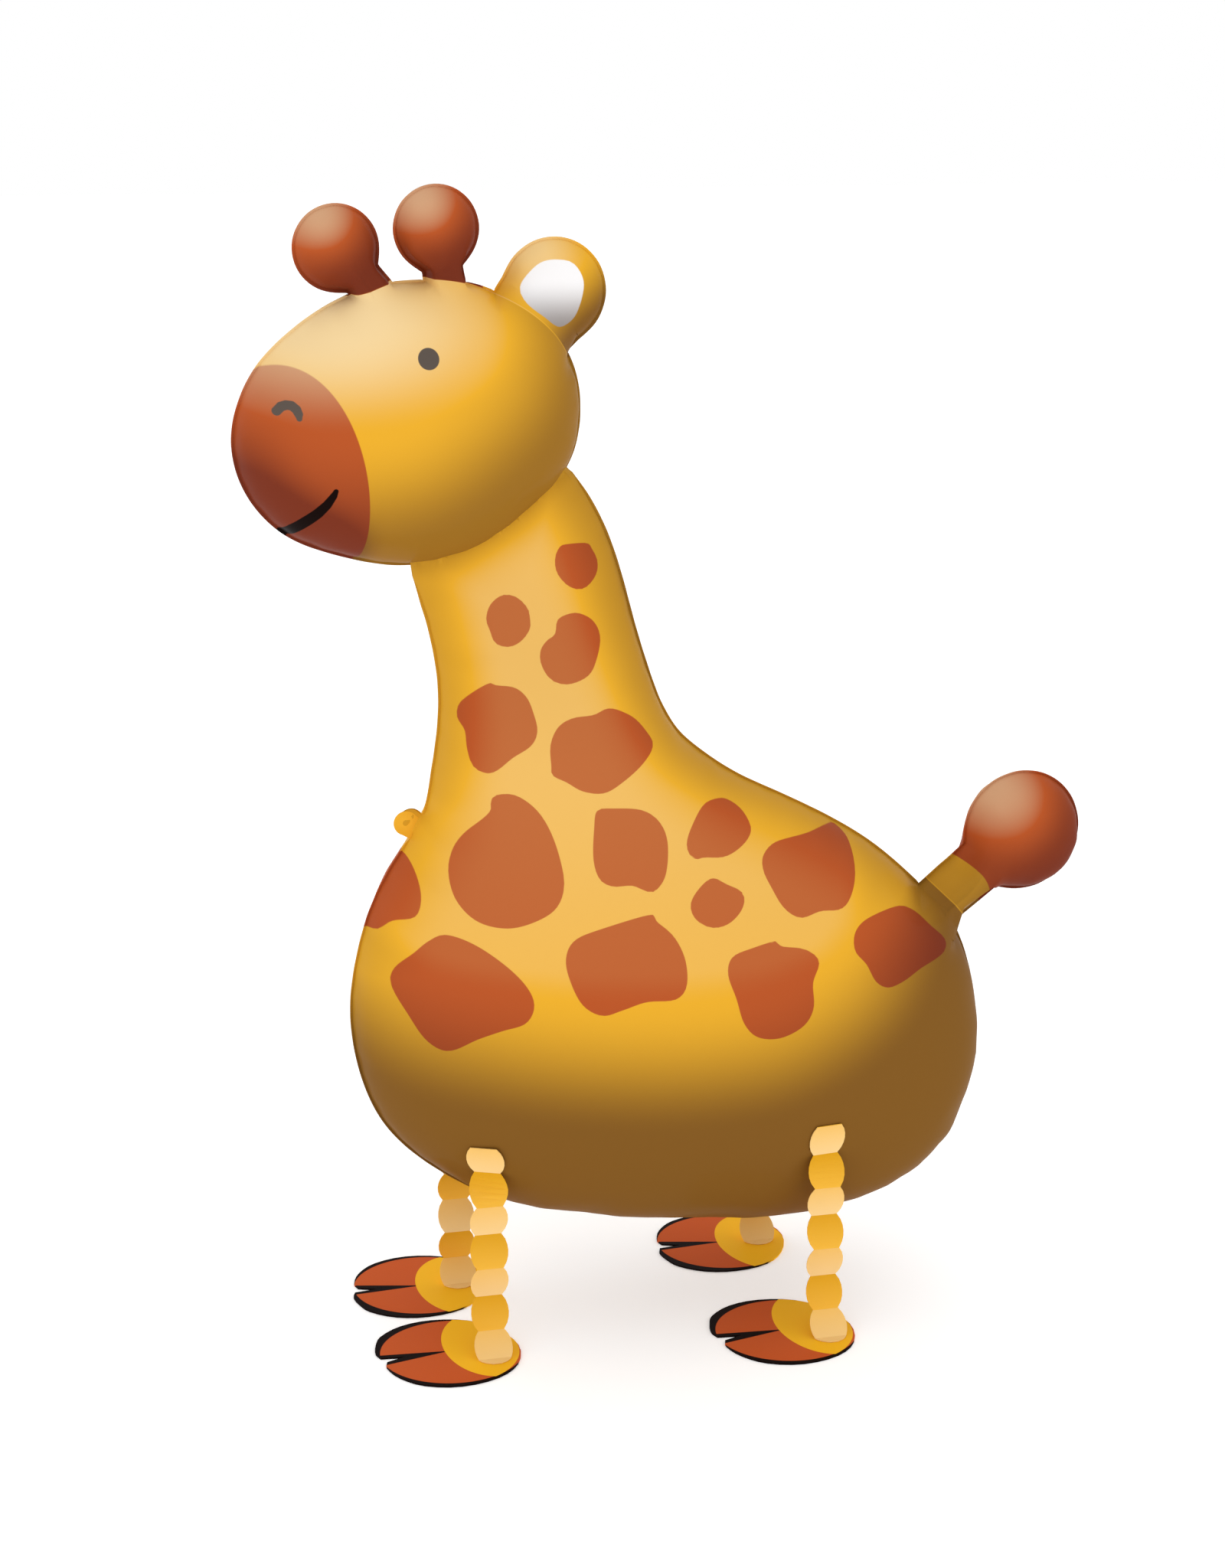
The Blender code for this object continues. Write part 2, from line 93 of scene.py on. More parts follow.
bpy.context.scene.view_settings.view_transform = "Standard"
room = bpy.data.worlds.new("white room")
room.use_nodes = True
room.node_tree.nodes["Background"].inputs["Color"].default_value = (1.0, 1.0, 1.0, 1.0)
room.node_tree.nodes["Background"].inputs["Strength"].default_value = 1.0
bpy.context.scene.world = room


def lamp(name, place, size, watts):
    """A square lamp that looks at the middle of the balloon."""
    light = bpy.data.lights.new(name, "AREA")
    light.size = size
    light.energy = watts
    holder = bpy.data.objects.new(name, light)
    bpy.context.scene.collection.objects.link(holder)
    holder.location = place
    holder.rotation_euler = (Vector(place) - AIM).to_track_quat("Z", "Y").to_euler()


lamp("large soft lamp", place=(-1.6, -2.2, 2.3), size=1.6, watts=2.0)
lamp("low fill lamp", place=(-0.7, -1.9, 0.35), size=1.4, watts=1.0)


def alone(piece):
    """Leaves only this piece selected, because an operator acts on all that is."""
    bpy.ops.object.select_all(action="DESELECT")
    piece.select_set(True)
    bpy.context.view_layer.objects.active = piece


bpy.ops.object.select_all(action="DESELECT")
bpy.ops.mesh.primitive_plane_add(size=FLOOR_SIZE, location=(0.0, 0.0, -FLOOR_DROP))
floor = bpy.context.active_object
floor.name = "floor"
print("lamps and floor are in place")

# %% [markdown]
# Shader sums are easier to read as Python. This class wraps one shader value, and an
# expression on it adds the Math nodes that work it out. A bench holds one material's
# nodes and puts down any other node with its settings and its inputs.

# %% Shader arithmetic


class Value:
    """A number that changes over a surface."""

    def __init__(self, bench, socket):
        self.bench = bench
        self.socket = socket

    def __add__(self, other):
        return self.bench.sum("ADD", self, other)

    def __sub__(self, other):
        return self.bench.sum("SUBTRACT", self, other)

    def __rsub__(self, other):
        return self.bench.sum("SUBTRACT", other, self)

    def __mul__(self, other):
        return self.bench.sum("MULTIPLY", self, other)

    def __truediv__(self, other):
        return self.bench.sum("DIVIDE", self, other)


class Bench:
    """One material while its nodes are put together."""

    def __init__(self, name, **surface):
        self.material = bpy.data.materials.new(name)
        self.material.use_nodes = True
        self.tree = self.material.node_tree
        self.shader = self.tree.nodes["Principled BSDF"]
        for label, amount in surface.items():
            self.shader.inputs[label.replace("_", " ")].default_value = amount

    def add(self, kind, settings, inputs, output=0):
        """A node with its settings, then its inputs by place or by name."""
        node = self.tree.nodes.new(kind)
        for label, setting in settings.items():
            setattr(node, label, setting)
        pairs = inputs.items() if isinstance(inputs, dict) else enumerate(inputs)
        for label, given in pairs:
            if isinstance(given, Value):
                self.tree.links.new(given.socket, node.inputs[label])
            else:
                node.inputs[label].default_value = given
        return Value(self, node.outputs[output])

    def sum(self, operation, *values):
        return self.add("ShaderNodeMath", {"operation": operation}, values)

    def colour_mix(self, share, a, b):
        """A mix of two colours, all A where the share is 0 and all B where it is 1."""
        inputs = {"Factor": share, 6: a, 7: b}
        return self.add("ShaderNodeMix", {"data_type": "RGBA"}, inputs, 2)

    def ramp(self, value, low, high):
        """0 below low and 1 above high, with a smooth slope between."""
        settings = {"interpolation_type": "SMOOTHSTEP"}
        return self.add("ShaderNodeMapRange", settings, [value, low, high, 0.0, 1.0])

    def attribute(self, name):
        return self.add("ShaderNodeAttribute", {"attribute_name": name}, [], "Fac")

    def wire(self, label, value):
        self.tree.links.new(value.socket, self.shader.inputs[label])


def rgb(red, green, blue):
    """A colour from its 0 to 255 values as a screen shows them."""
    shares = [c / 255 for c in (red, green, blue)]
    return (*[s / 12.92 if s <= 0.04045 else ((s + 0.055) / 1.055) ** 2.4 for s in shares], 1.0)


print("middle grey in shader units:", round(rgb(128, 128, 128)[0], 3))

# %% [markdown]
# The skins start from the CAD bags. A copy of the bag has its points merged, its pairs of
# triangles joined into squares and its seam creased, and two rounds of subdivision turn
# its facets into a smooth film. A few rounds of smoothing take out the last ripples. The
# seam's points are left out of those, because the weld of a real bag is a clean line. The
# neck's top is then drawn a little way into the head, since the head's bag presses on it.

# %% Smooth skins
MERGE_GAP = 0.00005
PAIR_ANGLE = math.radians(80)
FOLD_ANGLE = math.radians(42)
SMOOTH_ROUNDS = 10
NECK_FROM = 0.500
NECK_REACH = 0.0070
NECK_PULL = 1.8
NECK_SINK = 0.0015


def skin_of(node, name):
    """A merged, unpainted copy of a CAD node's mesh, as a piece of its own."""
    piece = bpy.data.objects.new(name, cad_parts[node].data.copy())
    bpy.context.scene.collection.objects.link(piece)
    piece.data.materials.clear()
    alone(piece)
    bpy.ops.object.mode_set(mode="EDIT")
    bpy.ops.mesh.select_all(action="SELECT")
    bpy.ops.mesh.remove_doubles(threshold=MERGE_GAP)
    bpy.ops.mesh.tris_convert_to_quads(face_threshold=PAIR_ANGLE, shape_threshold=PAIR_ANGLE)
    bpy.ops.object.mode_set(mode="OBJECT")
    bpy.ops.mesh.customdata_custom_splitnormals_clear()
    return piece


def finished(piece, kind, **settings):
    """Adds one modifier and applies it."""
    alone(piece)
    modifier = piece.modifiers.new(kind.lower(), kind)
    for label, setting in settings.items():
        setattr(modifier, label, setting)
    bpy.ops.object.modifier_apply(modifier=modifier.name)


def seam_edges(shape):
    """The edges along the weld: in the plane y = 0 and bulging outward."""
    return [edge for edge in shape.edges
            if max(abs(v.co.y) for v in edge.verts) < MERGE_GAP and edge.is_convex]


def folded_edges(shape):
    """The weld, and the edge of the hollow in the neck that the head sits in."""
    sharp = [edge for edge in shape.edges if edge.calc_face_angle(0.0) > FOLD_ANGLE]
    return set(sharp).union(seam_edges(shape))


def crease_folds(piece):
    """Marks the folded edges as sharp for the subdivision."""
    shape = bmesh.new()
    shape.from_mesh(piece.data)
    crease = shape.edges.layers.float.new("crease_edge")
    found = folded_edges(shape)
    for edge in found:
        edge[crease] = 1.0
    shape.to_mesh(piece.data)
    shape.free()
    print(piece.name, "folded edges creased:", len(found))


def seam_run(piece):
    """The longest stretch of the seam: its points in order, and whether it is a ring."""
    shape = bmesh.new()
    shape.from_mesh(piece.data)
    ties = {}
    places = {}
    for edge in seam_edges(shape):
        a, b = edge.verts
        ties.setdefault(a.index, []).append(b.index)
        ties.setdefault(b.index, []).append(a.index)
        places[a.index] = a.co.copy()
        places[b.index] = b.co.copy()
    shape.free()
    runs = []
    left = set(ties)
    while left:
        ends = sorted(k for k in left if len(ties[k]) == 1)
        here = ends[0] if ends else min(left)
        run = [here]
        left.discard(here)
        while True:
            ahead = [k for k in ties[here] if k in left]
            if not ahead:
                break
            here = ahead[0]
            left.discard(here)
            run.append(here)
        closed = not ends
        runs.append(([places[k] for k in run], closed))
    return max(runs, key=lambda found: len(found[0]))


def smooth_film(piece):
    """Evens out the film between the folded edges, whose own points are held."""
    shape = bmesh.new()
    shape.from_mesh(piece.data)
    held = {v.index for edge in folded_edges(shape) for v in edge.verts}
    shape.free()
    free = [v.index for v in piece.data.vertices if v.index not in held]
    piece.vertex_groups.new(name="film").add(free, 1.0, "REPLACE")
    finished(piece, "SMOOTH", factor=0.5, iterations=SMOOTH_ROUNDS, vertex_group="film")
    piece.vertex_groups.clear()
    piece.data.shade_smooth()


body_bag = skin_of("body", "body_bag")
head_bag = skin_of("head", "head_bag")
for piece in (body_bag, head_bag):
    crease_folds(piece)
    finished(piece, "SUBSURF", levels=2, render_levels=2)
    smooth_film(piece)
    print(piece.name, "faces:", len(piece.data.polygons))
drawn_in = 0
for vertex in body_bag.data.vertices:
    found, place, normal, _ = head_bag.closest_point_on_mesh(vertex.co, distance=NECK_REACH)
    if found and vertex.co.z > NECK_FROM:
        pull = min(1.0, NECK_PULL * (1 - (place - vertex.co).length / NECK_REACH))
        vertex.co += (place - normal * NECK_SINK - vertex.co) * pull
        drawn_in += 1
print("neck points drawn into the head:", drawn_in)
body_run, body_closed = seam_run(body_bag)
head_run, head_closed = seam_run(head_bag)
print("seam points:", len(body_run), body_closed, len(head_run), head_closed)

# %% [markdown]
# The prints were drawn on flat film, so they are set out in the flat view of the bag: x
# and z, with both sides alike. A point of the picture is turned into such a place by a
# ray from the camera to the skin. Beside the outline, where a ray can miss, the seam's
# own plane is used.

# %% From the picture to the film
RIGHT = Vector((math.cos(AZIMUTH), math.sin(AZIMUTH), 0.0))
UP = backward.cross(RIGHT)
RAY_LENGTH = DISTANCE / PIXEL


def picture_ray(across, down):
    """The way from the camera to a point of the picture."""
    return (RIGHT * (across - PICTURE_WIDTH / 2)
            + UP * (PICTURE_HEIGHT / 2 - down)
            - backward * RAY_LENGTH).normalized()


def on_film(piece, across, down):
    """The place on a skin, or else on the seam plane, behind a point of the picture."""
    ray = picture_ray(across, down)
    found, place, _, _ = piece.ray_cast(camera.location, ray)
    if not found:
        place = camera.location - ray * camera.location.y / ray.y
    return place


def dot_on(piece, across, down, radius):
    """A round dot of the print: x, z and radius in metres, from the picture's pixels."""
    place = on_film(piece, across, down)
    scale = (place - camera.location).length / RAY_LENGTH
    return place.x, place.z, radius * scale


EYE = (560, 469, 13.8)
eye = dot_on(head_bag, *EYE)
print("eye at", [round(v, 4) for v in eye])

# %% [markdown]
# Light and shade are painted into the film's colour. It is painted pale where light would
# fall, from the upper left, and painted dark along the belly and the back, as an inner
# shadow is: the further a place lies inside the outline, looked for a little down and to
# the back of it, the lighter it is. A softer painted shadow goes round every edge. The head
# has a painted highlight on its forehead, and the horns, the ear and the tail's ball get
# painted light and shade as balls, each with its x, z and radius. Every skin point gets its
# tone of painted light and shade as an attribute, from -1 for dark to 1 for pale. Places
# and reaches are in metres of flat film, and on a ball in shares of its radius.

# %% Painted light and shade
BATCH = 4000
OUTLINE_STEP = 3


def slope(low, high, value):
    """0 below low and 1 above high, with a smooth slope between."""
    t = np.clip((value - low) / (high - low), 0.0, 1.0)
    return t * t * (3.0 - 2.0 * t)


def depth_inside(outline, places):
    """Each place's distance to a closed outline, negative outside it."""
    start = np.array([(p.x, p.z) for p in outline])
    end = np.roll(start, -1, axis=0)
    side = end - start
    depth = np.empty(len(places))
    for first in range(0, len(places), BATCH):
        part = places[first:first + BATCH]
        away = part[:, None] - start
        t = np.clip((away * side).sum(2) / (side * side).sum(1), 0, 1)
        gap = np.linalg.norm(away - t[:, :, None] * side, axis=2).min(1)
        level = (start[:, 1] > part[:, 1:]) != (end[:, 1] > part[:, 1:])
        rise = np.where(side[:, 1] == 0, 1, side[:, 1])
        crossing = start[:, 0] + away[:, :, 1] / rise * side[:, 0]
        within = (level & (part[:, :1] < crossing)).sum(1) % 2 == 1
        depth[first:first + BATCH] = np.where(within, gap, -gap)
    return depth


BELLY_SHADOW = np.array((0.075, -0.150))
BELLY_SOFTNESS = 0.050
BELLY_PALE = 0.18
NECK_SPAN = (0.255, 0.428)
NECK_SHADOW = np.array((0.009, -0.013))
NECK_SOFTNESS = 0.014
NECK_PALE = 0.32
PALE_FROM = -0.006
PALE_TO = 0.030
ROUND_SHADOW = np.array((0.013, -0.006))
ROUND_SOFTNESS = 0.054
ROUND_STRENGTH = 0.95
HEAD_SHADOW = np.array((0.039, -0.056))
HEAD_SOFTNESS = 0.039
HEAD_STRENGTH = 0.83
HEAD_HIGHLIGHT = np.array((-0.246, 0.709))
HIGHLIGHT_SIZE = np.array((0.125, 0.058))
HIGHLIGHT_SPAN = (0.2, 1.2)
MUZZLE_BACK = (-0.250, -0.205)
MUZZLE_TOP = (0.600, 0.660)
MUZZLE_SHADOW = np.array((-0.004, -0.010))
MUZZLE_SOFTNESS = 0.036
MUZZLE_STRENGTH = 0.65


def body_painted_shade(places):
    """Painted shade along the belly and the back and round every edge, painted light between.
    """
    outline = body_run[::OUTLINE_STEP]
    neck = slope(*NECK_SPAN, places[:, 1])
    shift = BELLY_SHADOW + neck[:, None] * (NECK_SHADOW - BELLY_SHADOW)
    soft = BELLY_SOFTNESS + neck * (NECK_SOFTNESS - BELLY_SOFTNESS)
    shade = depth_inside(outline, places + shift)
    dark = 1 - slope(-soft, soft, shade)
    edge = depth_inside(outline, places + ROUND_SHADOW)
    edge = ROUND_STRENGTH * (1 - slope(-ROUND_SOFTNESS, ROUND_SOFTNESS, edge))
    pale = BELLY_PALE + neck * (NECK_PALE - BELLY_PALE)
    pale = pale * slope(soft + PALE_FROM, soft + PALE_TO, shade)
    return np.clip(pale * (1 - edge) - np.maximum(dark, edge), -1, 1)


def head_painted_shade(places):
    """A painted highlight on the forehead, painted shade toward the back, chin and muzzle's
    edge.
    """
    outline = head_run[::OUTLINE_STEP]
    shade = depth_inside(outline, places + HEAD_SHADOW)
    dark = HEAD_STRENGTH * (1 - slope(-HEAD_SOFTNESS, HEAD_SOFTNESS, shade))
    away = np.linalg.norm((places - HEAD_HIGHLIGHT) / HIGHLIGHT_SIZE, axis=1)
    pale = 1 - slope(*HIGHLIGHT_SPAN, away)
    muzzle = (1 - slope(*MUZZLE_BACK, places[:, 0])) * (1 - slope(*MUZZLE_TOP, places[:, 1]))
    rim = 1 - slope(0.0, MUZZLE_SOFTNESS, depth_inside(outline, places + MUZZLE_SHADOW))
    return np.clip(pale - dark - MUZZLE_STRENGTH * muzzle * rim, -1, 1)


TAIL_BALL = (0.2440, 0.3390, 0.0430)
FRONT_HORN = (-0.2318, 0.7556, 0.0280)
REAR_HORN = (-0.1660, 0.7642, 0.0280)
EAR = (-0.0915, 0.7235, 0.0350)
BALL_SHADING = {"highlight": (-0.25, 0.56), "reach": 1.26, "strength": 1.0, "span": (-1.2, 1.2)}
EAR_SHADING = {"highlight": (-0.25, 0.75), "reach": 1.1, "strength": 0.7, "span": (-0.1, 1.0)}
HIGHLIGHT_CORE = 0.05
DARK_WAY = np.array((0.6, -0.8))
DARK_STRENGTH = 1.05
STEM_SPAN = (0.95, 1.15)
STEM_STRENGTH = 0.55
HORNS_APART = -0.1985
EAR_STARTS = -0.1330


def ball_painted_shade(places, ball, shading):
    """A knob's painted light and shade: lit at its upper left, shaded toward lower right and
    stem.
    """
    away = (places - np.array(ball[:2])) / ball[2]
    off_highlight = np.linalg.norm(away - shading["highlight"], axis=1)
    pale = shading["strength"] * (1 - slope(HIGHLIGHT_CORE, shading["reach"], off_highlight))
    dark = DARK_STRENGTH * slope(*shading["span"], away @ DARK_WAY)
    stem = STEM_STRENGTH * slope(*STEM_SPAN, np.linalg.norm(away, axis=1)) * (away[:, 1] < 0)
    return np.clip(pale - np.maximum(dark, stem), -1, 1)


def head_knob_painted_shade(places):
    """The painted light and shade of whichever horn or ear a place belongs to."""
    front = ball_painted_shade(places, FRONT_HORN, BALL_SHADING)
    rear = ball_painted_shade(places, REAR_HORN, BALL_SHADING)
    ear = ball_painted_shade(places, EAR, EAR_SHADING)
    x = places[:, 0]
    return np.where(x < HORNS_APART, front, np.where(x < EAR_STARTS, rear, ear))


def tail_painted_shade(places):
    return ball_painted_shade(places, TAIL_BALL, BALL_SHADING)


def paint_light_and_shade(piece, main, knobs):
    """Stores a skin's two sets of painted light and shade: the bag's own, and its knobs'."""
    co = np.empty(len(piece.data.vertices) * 3, np.float32)
    piece.data.vertices.foreach_get("co", co)
    places = co.reshape(-1, 3)[:, (0, 2)].astype(float)
    for label, tones in (("tone", main(places)), ("knob_painted_shade", knobs(places))):
        layer = piece.data.attributes.new(label, "FLOAT", "POINT")
        layer.data.foreach_set("value", tones.astype(np.float32))
        print(piece.name, label, "from", tones.min().round(2), "to", tones.max().round(2))


paint_light_and_shade(body_bag, body_painted_shade, tail_painted_shade)
paint_light_and_shade(head_bag, head_painted_shade, head_knob_painted_shade)

# %% [markdown]
# A filled bag pulls small gathers from its weld into the film. They are made by moving
# the skin's points along their normals, mostly inward, by two waves that run along the
# weld and die out away from it. The weld's own points stay, so that its line is kept.

# %% Gathers beside the weld
GATHER_REACH = 0.018
GATHER_LIMIT = 4 * GATHER_REACH
GATHER_STARTS = 0.007
GATHER_DEPTH = 0.0006
GATHER_LENGTH = 0.019
SECOND_LENGTH = 1.73 * GATHER_LENGTH
SECOND_SHARE = 0.6
SECOND_START = 1.3


def run_lengths(run):
    """The length along a run of points up to each of them."""
    lengths = [0.0]
    for a, b in zip(run, run[1:]):
        lengths.append(lengths[-1] + (b - a).length)
    return lengths


def gather(piece, run):
    """Ripples a skin beside its seam."""
    tree = KDTree(len(run))
    for index, place in enumerate(run):
        tree.insert(place, index)
    tree.balance()
    along = run_lengths(run)
    moved = 0
    normals = [v.normal.copy() for v in piece.data.vertices]
    for vertex, normal in zip(piece.data.vertices, normals):
        _, index, gap = tree.find(vertex.co)
        if gap < GATHER_LIMIT:
            s = along[index]
            wave = (math.sin(math.tau * s / GATHER_LENGTH)
                    + SECOND_SHARE * math.sin(math.tau * s / SECOND_LENGTH + SECOND_START))
            side = 1.0 if vertex.co.y < 0 else -1.0
            fade = math.exp(-gap / GATHER_REACH) * min(1.0, gap / GATHER_STARTS)
            vertex.co += normal * (GATHER_DEPTH * fade * (wave * side - 1.0) / 2)
            moved += 1
    print(piece.name, "points gathered:", moved)


gather(body_bag, body_run)
gather(head_bag, head_run)

# %% [markdown]
# The weld is a narrow flat rim of two films sealed together. It is the seam's line as a
# curve with a flat strip for its profile, half of it inside the bag. The curve's radius
# tapers it at the neck's top, where the body's weld ends under the head, and beside the
# filling tab, which grows out of it.

# %% Weld rims
RIM_REACH = 0.0016
RIM_THICKNESS = 0.0004
RIM_WAVE = 0.0002
RIM_TAPER = 0.025
RIM_THINNEST = 0.02
TAB_CENTRE = Vector((-0.1905, 0.0, 0.3665))
TAB_SPAN = (0.010, 0.016)

bpy.ops.object.select_all(action="DESELECT")
bpy.ops.curve.primitive_bezier_circle_add(radius=1.0)
strip_profile = bpy.context.active_object
strip_profile.name = "strip_profile"
strip_profile.scale = (RIM_THICKNESS / 2, RIM_REACH, 1.0)
bpy.ops.object.transform_apply(location=False, rotation=False, scale=True)
strip_profile.data.resolution_u = 3


def rim_share(share):
    """The rim's share of its full width, never quite nothing."""
    return RIM_THINNEST + (1 - RIM_THINNEST) * float(share)


def weld_rim(name, run, closed):
    """The seam's line as a curve with the strip as its profile, made into a mesh."""
    along = run_lengths(run)
    line = bpy.data.curves.new(name, "CURVE")
    line.dimensions = "3D"
    line.bevel_mode = "OBJECT"
    line.bevel_object = strip_profile
    spline = line.splines.new("POLY")
    spline.points.add(len(run) - 1)
    spline.use_cyclic_u = closed
    for point, place, s in zip(spline.points, run, along):
        wave = RIM_WAVE * math.sin(math.tau * s / GATHER_LENGTH)
        point.co = (place.x, wave, place.z, 1.0)
        point.radius = rim_share(slope(*TAB_SPAN, (place - TAB_CENTRE).length))
        if not closed:
            point.radius *= rim_share(slope(0.0, RIM_TAPER, min(s, along[-1] - s)))
    piece = bpy.data.objects.new(name, line)
    bpy.context.scene.collection.objects.link(piece)
    alone(piece)
    bpy.ops.object.convert(target="MESH")
    bpy.ops.object.mode_set(mode="EDIT")
    bpy.ops.mesh.select_all(action="SELECT")
    bpy.ops.mesh.remove_doubles(threshold=MERGE_GAP / 10)
    bpy.ops.mesh.normals_make_consistent(inside=False)
    bpy.ops.object.mode_set(mode="OBJECT")
    piece.data.shade_smooth()
    across = [abs(v.co.y) for v in piece.data.vertices]
    print(name, "faces:", len(piece.data.polygons), "half width across the seam:", max(across))
    return piece


body_rim = weld_rim("body_weld", body_run, body_closed)
head_rim = weld_rim("head_weld", head_run, head_closed)
bpy.data.objects.remove(strip_profile)
# The rims get the same painted light and shade as their bags.
paint_light_and_shade(body_rim, body_painted_shade, tail_painted_shade)
paint_light_and_shade(head_rim, head_painted_shade, head_knob_painted_shade)

# %% [markdown]
# The filling tab is a small flat tongue on the chest, where the bag was filled. It is a
# disc whose points nearest the chest are drawn back under the weld, with its thickness
# from Solidify and softened edges from Bevel.

# %% Filling tab
TAB_RADIUS = 0.0085
TAB_LEAN = math.radians(54)
TAB_ROOT = 0.0125
TAB_ROOT_FROM = 0.35
TAB_ROOT_WIDTH = 0.95
TAB_THICKNESS = 0.0009
TAB_BEVEL = 0.0002

bpy.ops.object.select_all(action="DESELECT")
bpy.ops.mesh.primitive_circle_add(vertices=40, radius=TAB_RADIUS, fill_type="NGON",
                                  location=TAB_CENTRE, rotation=(math.radians(90), 0.0, 0.0))
filling_tab = bpy.context.active_object
filling_tab.name = "filling_tab"
bpy.ops.object.transform_apply(location=True, rotation=True, scale=True)
inward = Vector((math.sin(TAB_LEAN), 0.0, -math.cos(TAB_LEAN)))
sideways = Vector((inward.z, 0.0, -inward.x))
for vertex in filling_tab.data.vertices:
    offset = vertex.co - TAB_CENTRE
    if offset.dot(inward) > TAB_ROOT_FROM * TAB_RADIUS:
        across = offset.dot(sideways) * TAB_ROOT_WIDTH
        vertex.co = TAB_CENTRE + inward * TAB_ROOT + sideways * across
finished(filling_tab, "SOLIDIFY", thickness=TAB_THICKNESS, offset=0.0)
finished(filling_tab, "BEVEL", width=TAB_BEVEL, segments=2, limit_method="ANGLE")
filling_tab.data.shade_smooth()
filling_tab.data.set_sharp_from_angle(angle=math.radians(40))
print("tab faces:", len(filling_tab.data.polygons))

# %% [markdown]
# Each ink has a dark, a plain and a pale tone: the dark is painted shade and the pale is
# painted light, and the tone attribute picks between them. The blots' rust pales less than
# that of the muzzle and the knobs. A printed shape is a distance in the flat view, below
# zero inside the shape, and it is filled with a crisp edge. The film itself is satin, with
# a thin gloss coat and fine creases.

# %% Inks and flat shapes
# An ink's dark and pale are painted shade and painted light of its plain colour.
YELLOW = {"dark": rgb(127, 87, 34), "plain": rgb(229, 170, 45), "pale": rgb(240, 210, 156)}
RUST = {"dark": rgb(118, 50, 31), "plain": rgb(180, 84, 40), "pale": rgb(210, 167, 129)}
BLOT = {"dark": RUST["dark"], "plain": RUST["plain"], "pale": rgb(203, 140, 84)}
BLACK = rgb(20, 8, 6)
GREY = rgb(92, 82, 75)
PRINT_EDGE = 0.0003
ROUGHNESS_LEAST = 0.38
ROUGHNESS_SPREAD = 0.10


class Film(Bench):
    """A bench for printed film, with its flat view and its inks."""

    def __init__(self, name, **surface):
        super().__init__(name, **surface)
        place = self.add("ShaderNodeTexCoord", {}, [], "Object")
        self.place = place
        self.x = self.add("ShaderNodeSeparateXYZ", {}, [place], "X")
        self.z = self.add("ShaderNodeSeparateXYZ", {}, [place], "Z")
        self.flat = self.add("ShaderNodeCombineXYZ", {}, {"X": self.x, "Z": self.z})

    def gap(self, x, z):
        """The distance to a place in the flat view."""
        settings = {"operation": "DISTANCE"}
        return self.add("ShaderNodeVectorMath", settings, [self.flat, (x, 0.0, z)], "Value")

    def dot(self, x, z, radius):
        """A round shape's distance, below zero inside it."""
        return self.gap(x, z) - radius

    def stroke(self, points):
        """A brush line through x, z, radius points, as wide as its radii."""
        line = None
        for (ax, az, ar), (bx, bz, br) in zip(points, points[1:]):
            dx = bx - ax
            dz = bz - az
            square = dx * dx + dz * dz
            share = (self.x - ax) * (dx / square) + (self.z - az) * (dz / square)
            share = self.add("ShaderNodeClamp", {}, [share, 0.0, 1.0])
            across = self.x - ax - share * dx
            down = self.z - az - share * dz
            reach = self.sum("SQRT", across * across + down * down)
            reach = reach - ar - share * (br - ar)
            line = reach if line is None else self.sum("MINIMUM", line, reach)
        return line

    def filled(self, shape):
        """1 inside a shape and 0 outside it, with a crisp printed edge."""
        return 1 - self.ramp(shape, -PRINT_EDGE, PRINT_EDGE)

    def ink(self, inks, tone):
        """An ink's colour, from its painted shade at -1 through its plain at 0 to its painted
        light at 1.
        """
        dark = self.add("ShaderNodeClamp", {}, [tone * -1, 0.0, 1.0])
        pale = self.add("ShaderNodeClamp", {}, [tone, 0.0, 1.0])
        lower = self.colour_mix(dark, inks["plain"], inks["dark"])
        return self.colour_mix(pale, lower, inks["pale"])

    def finish_film(self, colour):
        """Colour, the faint unevenness of the gloss, and fine creases in the film."""
        self.wire("Base Color", colour)
        cloud = self.add("ShaderNodeTexNoise", {}, {"Vector": self.place, "Scale": 14.0,
                                                    "Detail": 3.0})
        self.wire("Roughness", self.ramp(cloud, 0.2, 0.8) * ROUGHNESS_SPREAD + ROUGHNESS_LEAST)
        crease = self.add("ShaderNodeTexNoise", {"noise_type": "RIDGED_MULTIFRACTAL"},
                          {"Vector": self.place, "Scale": 9.0, "Detail": 4.0})
        bump = self.add("ShaderNodeBump", {}, {"Strength": 0.10, "Distance": 0.0006,
                                               "Height": crease}, "Normal")
        self.wire("Normal", bump)
        return self.material


FILM = {"Coat_Weight": 0.04, "Coat_Roughness": 0.15, "IOR": 1.3, "Specular_IOR_Level": 0.01}
